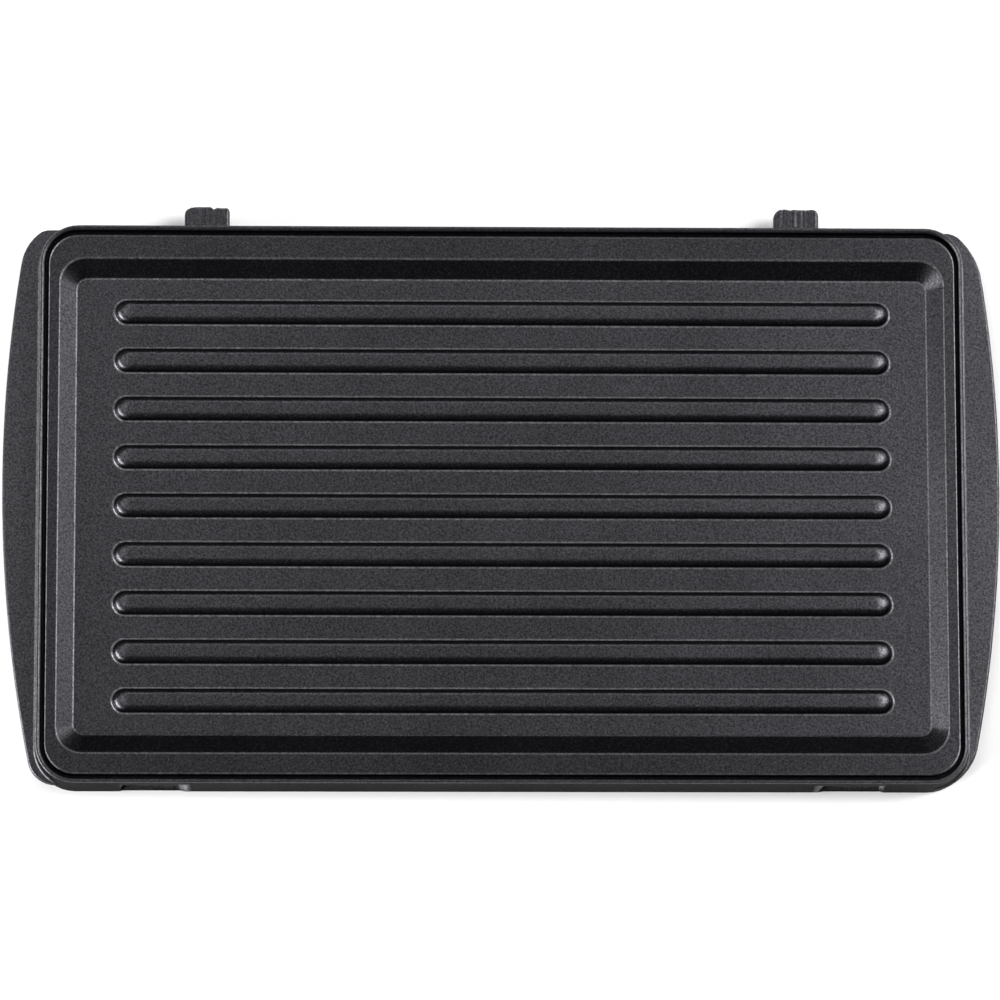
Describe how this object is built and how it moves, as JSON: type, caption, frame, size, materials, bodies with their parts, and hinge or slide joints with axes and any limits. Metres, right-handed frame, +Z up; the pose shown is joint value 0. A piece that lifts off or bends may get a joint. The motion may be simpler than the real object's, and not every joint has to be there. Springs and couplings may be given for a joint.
{
  "type": "grill plate",
  "caption": "Removable die-cast grill plate of an electric sandwich maker: a shallow ribbed pan with a grease groove, end wings, rear hooking tabs and front latch notches.",
  "frame": {"origin": "middle of the base of the bounding box, with the skirt's lower edge standing on Z = 0", "axes": "+X along the grill ribs to the right, +Y to the rear, where the hooking tabs are, +Z up out of the pan"},
  "size_m": [0.2548, 0.1496, 0.0134],
  "materials": {
    "nonstick_coating": "black non-stick coating on die-cast aluminium, satin, with a fine orange peel and pale mineral specks"
  },
  "bodies": {
    "root": {"grill_plate": "nonstick_coating"}
  },
  "joints": []
}
